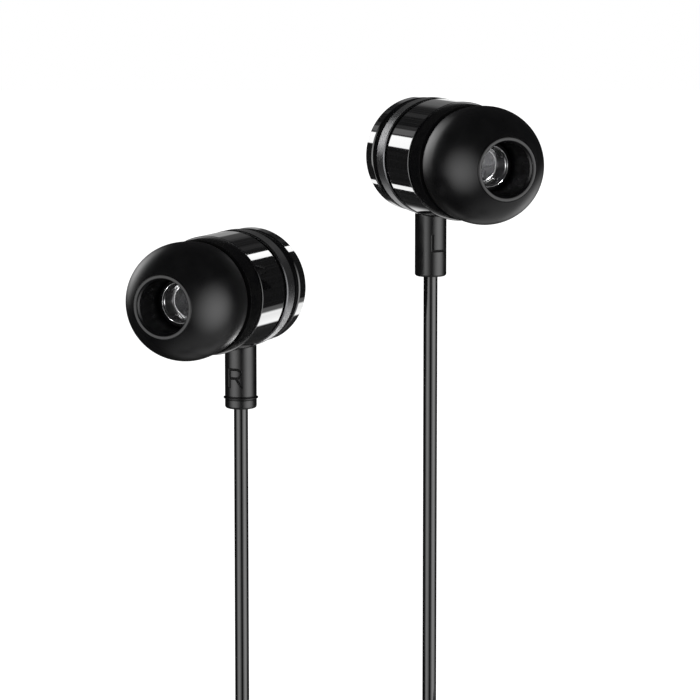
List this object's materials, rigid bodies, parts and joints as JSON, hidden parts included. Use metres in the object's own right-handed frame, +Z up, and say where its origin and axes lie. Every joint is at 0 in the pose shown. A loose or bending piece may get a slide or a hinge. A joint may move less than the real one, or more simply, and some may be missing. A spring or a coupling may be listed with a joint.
{
  "type": "wired earphones",
  "caption": "In-ear wired earphones: two metal barrels with silicone tips, boots, hanging cords tied in hanks, a splitter and a 3.5 mm plug.",
  "frame": {"origin": "middle of the right ear tip's mouth, at the front of its rolled lip", "axes": "+X from the right earpiece to the left one, +Y away from the front, +Z up; both cords hang towards -Z"},
  "size_m": [0.0626, 0.0292, 0.1946],
  "materials": {
    "silicone": "matte black silicone",
    "satin_black": "satin black moulding",
    "grille_steel": "satin steel",
    "foam": "closed foam",
    "cover_steel": "stamped steel",
    "film": "thin amber film",
    "copper": "enamelled copper wire",
    "zinc_steel": "zinc plated steel",
    "nickel": "nickel plated magnet",
    "frame_plastic": "moulded frame",
    "paper": "damping paper",
    "board": "circuit board",
    "brass_crimp": "rolled brass",
    "mirror_black": "mirror black plating",
    "satin_metal": "satin dark aluminium",
    "boot_rubber": "soft dark grey rubber",
    "cord_rubber": "smooth dark cord jacket",
    "tie_plastic": "soft black tie band",
    "plug_plastic": "satin black plug body",
    "contact_metal": "nickel plated contact",
    "insulator_plastic": "black insulator"
  },
  "bodies": {
    "root": {"left_barrel": "mirror_black", "left_boot": "boot_rubber", "left_cord_hank": "cord_rubber", "left_cord_lower": "cord_rubber", "left_cord_tie": "tie_plastic", "left_cord_upper": "cord_rubber", "left_crimp": "brass_crimp", "left_damping_paper": "paper", "left_driver_cover": "cover_steel", "left_driver_frame": "frame_plastic", "left_driver_gasket": "foam", "left_front_housing": "satin_black", "left_lead_wires": "copper", "left_magnet": "nickel", "left_nozzle_grille": "grille_steel", "left_pole_plate": "zinc_steel", "left_rear_cap": "mirror_black", "left_rear_housing": "satin_black", "left_terminal_board": "board", "left_trim_ring": "satin_metal", "left_yoke": "zinc_steel", "main_cord_hank": "cord_rubber", "main_cord_lower": "cord_rubber", "main_cord_tie": "tie_plastic", "main_cord_upper": "cord_rubber", "plug_body": "plug_plastic", "plug_insulator": "insulator_plastic", "plug_ring_contact": "contact_metal", "plug_sleeve_contact": "contact_metal", "plug_strain_relief": "boot_rubber", "plug_tip_contact": "contact_metal", "right_barrel": "mirror_black", "right_boot": "boot_rubber", "right_cord_hank": "cord_rubber", "right_cord_lower": "cord_rubber", "right_cord_tie": "tie_plastic", "right_cord_upper": "cord_rubber", "right_crimp": "brass_crimp", "right_damping_paper": "paper", "right_driver_cover": "cover_steel", "right_driver_frame": "frame_plastic", "right_driver_gasket": "foam", "right_front_housing": "satin_black", "right_lead_wires": "copper", "right_magnet": "nickel", "right_nozzle_grille": "grille_steel", "right_pole_plate": "zinc_steel", "right_rear_cap": "mirror_black", "right_rear_housing": "satin_black", "right_terminal_board": "board", "right_trim_ring": "satin_metal", "right_yoke": "zinc_steel", "splitter": "boot_rubber"},
    "right_tip": {"right_ear_tip": "silicone"},
    "right_coil": {"right_diaphragm": "film", "right_voice_coil": "copper"},
    "left_tip": {"left_ear_tip": "silicone"},
    "left_coil": {"left_diaphragm": "film", "left_voice_coil": "copper"}
  },
  "joints": [
    {"name": "right_tip_pull", "type": "slide", "parent": "root", "child": "right_tip", "axis": [-0.4123, -0.911, 0], "range_m": [0, 0.012]},
    {"name": "right_coil_travel", "type": "slide", "parent": "root", "child": "right_coil", "axis": [-0.4123, -0.911, 0], "range_m": [-0.0002, 0.0002], "stiffness_N_per_m": 20},
    {"name": "left_tip_pull", "type": "slide", "parent": "root", "child": "left_tip", "axis": [0.4123, -0.911, 0], "range_m": [0, 0.012]},
    {"name": "left_coil_travel", "type": "slide", "parent": "root", "child": "left_coil", "axis": [0.4123, -0.911, 0], "range_m": [-0.0002, 0.0002], "stiffness_N_per_m": 20}
  ]
}
